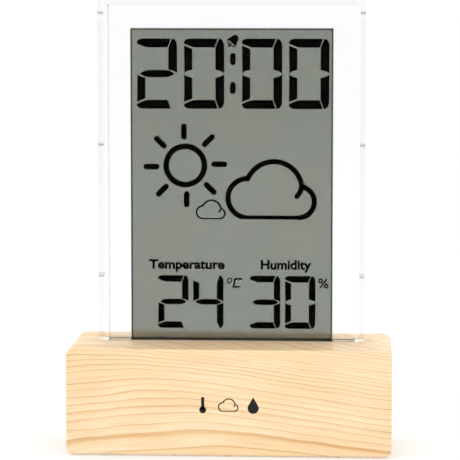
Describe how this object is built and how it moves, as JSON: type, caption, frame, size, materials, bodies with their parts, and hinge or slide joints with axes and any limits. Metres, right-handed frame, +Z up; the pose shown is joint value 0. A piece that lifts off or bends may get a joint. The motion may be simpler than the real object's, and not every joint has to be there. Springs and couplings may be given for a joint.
{
  "type": "home weather station",
  "caption": "Desktop weather station: an upright see-through liquid crystal display in a clear housing on a pine-look block base, with a battery door, buttons and sensor vents at the back.",
  "frame": {"origin": "on the table under the middle of the base, at the flat ends of the moulded pips", "axes": "+Z up, -Y towards the viewer (the display faces -Y), +Y towards the battery door and buttons, +X to the viewer's right"},
  "size_m": [0.11, 0.04, 0.1549],
  "materials": {
    "pine_film": "satin, light pine grain film",
    "cover_plastic": "fine moulded texture, warm white",
    "clear_plastic": "clear, polished",
    "lcd_glass": "clear, polished",
    "polariser": "grey-green film, satin",
    "black_tape": "matt black edge tape",
    "black_plastic": "moulded black",
    "cradle_plastic": "moulded, light pine colour",
    "ribbon_film": "printed flexible film",
    "steel": "nickel plated",
    "circuit_board": "green solder mask",
    "epoxy": "black cast epoxy",
    "capacitor_sleeve": "shrink sleeve",
    "sensor_case": "white moulded case",
    "switch_case": "black switch case",
    "plunger_plastic": "moulded dark grey",
    "button_plastic": "soft grey, fine texture",
    "battery_jacket": "printed metal can",
    "red_sleeve": "lead insulation",
    "black_sleeve": "lead insulation"
  },
  "bodies": {
    "station": {"base_shell": "pine_film", "rear_cover": "cover_plastic", "front_window": "clear_plastic", "rear_window": "clear_plastic", "lcd_front_glass": "lcd_glass", "lcd_rear_glass": "lcd_glass", "front_polariser": "polariser", "rear_polariser": "polariser", "lcd_edge_band": "black_tape", "lcd_cradle": "cradle_plastic", "lcd_ribbon": "ribbon_film", "display_clamp": "black_plastic", "clamp_screws": "steel", "cover_screws": "steel", "main_board": "circuit_board", "board_screws": "steel", "chip_blob": "epoxy", "crystal": "steel", "capacitor": "capacitor_sleeve", "humidity_sensor": "sensor_case", "buzzer": "black_plastic", "tact_switches": "switch_case", "battery_upper": "battery_jacket", "battery_lower": "battery_jacket", "positive_contact": "steel", "negative_contact": "steel", "bridge_contact": "steel", "battery_springs": "steel", "red_lead": "red_sleeve", "black_lead": "black_sleeve"},
    "door": {"battery_door": "cover_plastic"},
    "set_key": {"set_button": "button_plastic", "set_plunger": "plunger_plastic"},
    "up_key": {"up_button": "button_plastic", "up_plunger": "plunger_plastic"},
    "down_key": {"down_button": "button_plastic", "down_plunger": "plunger_plastic"},
    "alarm_key": {"alarm_button": "button_plastic", "alarm_plunger": "plunger_plastic"},
    "unit_key": {"unit_button": "button_plastic", "unit_plunger": "plunger_plastic"}
  },
  "joints": [
    {"name": "battery_door_hinge", "type": "hinge", "parent": "station", "child": "door", "pos_m": [0, 0.0174, 0.0068], "axis": [-1, 0, 0], "range_deg": [0, 95]},
    {"name": "set_button_press", "type": "slide", "parent": "station", "child": "set_key", "axis": [0, -1, 0], "range_m": [0, 0.0005], "stiffness_N_per_m": 1500},
    {"name": "up_button_press", "type": "slide", "parent": "station", "child": "up_key", "axis": [0, -1, 0], "range_m": [0, 0.0005], "stiffness_N_per_m": 1500},
    {"name": "down_button_press", "type": "slide", "parent": "station", "child": "down_key", "axis": [0, -1, 0], "range_m": [0, 0.0005], "stiffness_N_per_m": 1500},
    {"name": "alarm_button_press", "type": "slide", "parent": "station", "child": "alarm_key", "axis": [0, -1, 0], "range_m": [0, 0.0005], "stiffness_N_per_m": 1500},
    {"name": "unit_button_press", "type": "slide", "parent": "station", "child": "unit_key", "axis": [0, -1, 0], "range_m": [0, 0.0005], "stiffness_N_per_m": 1500}
  ]
}
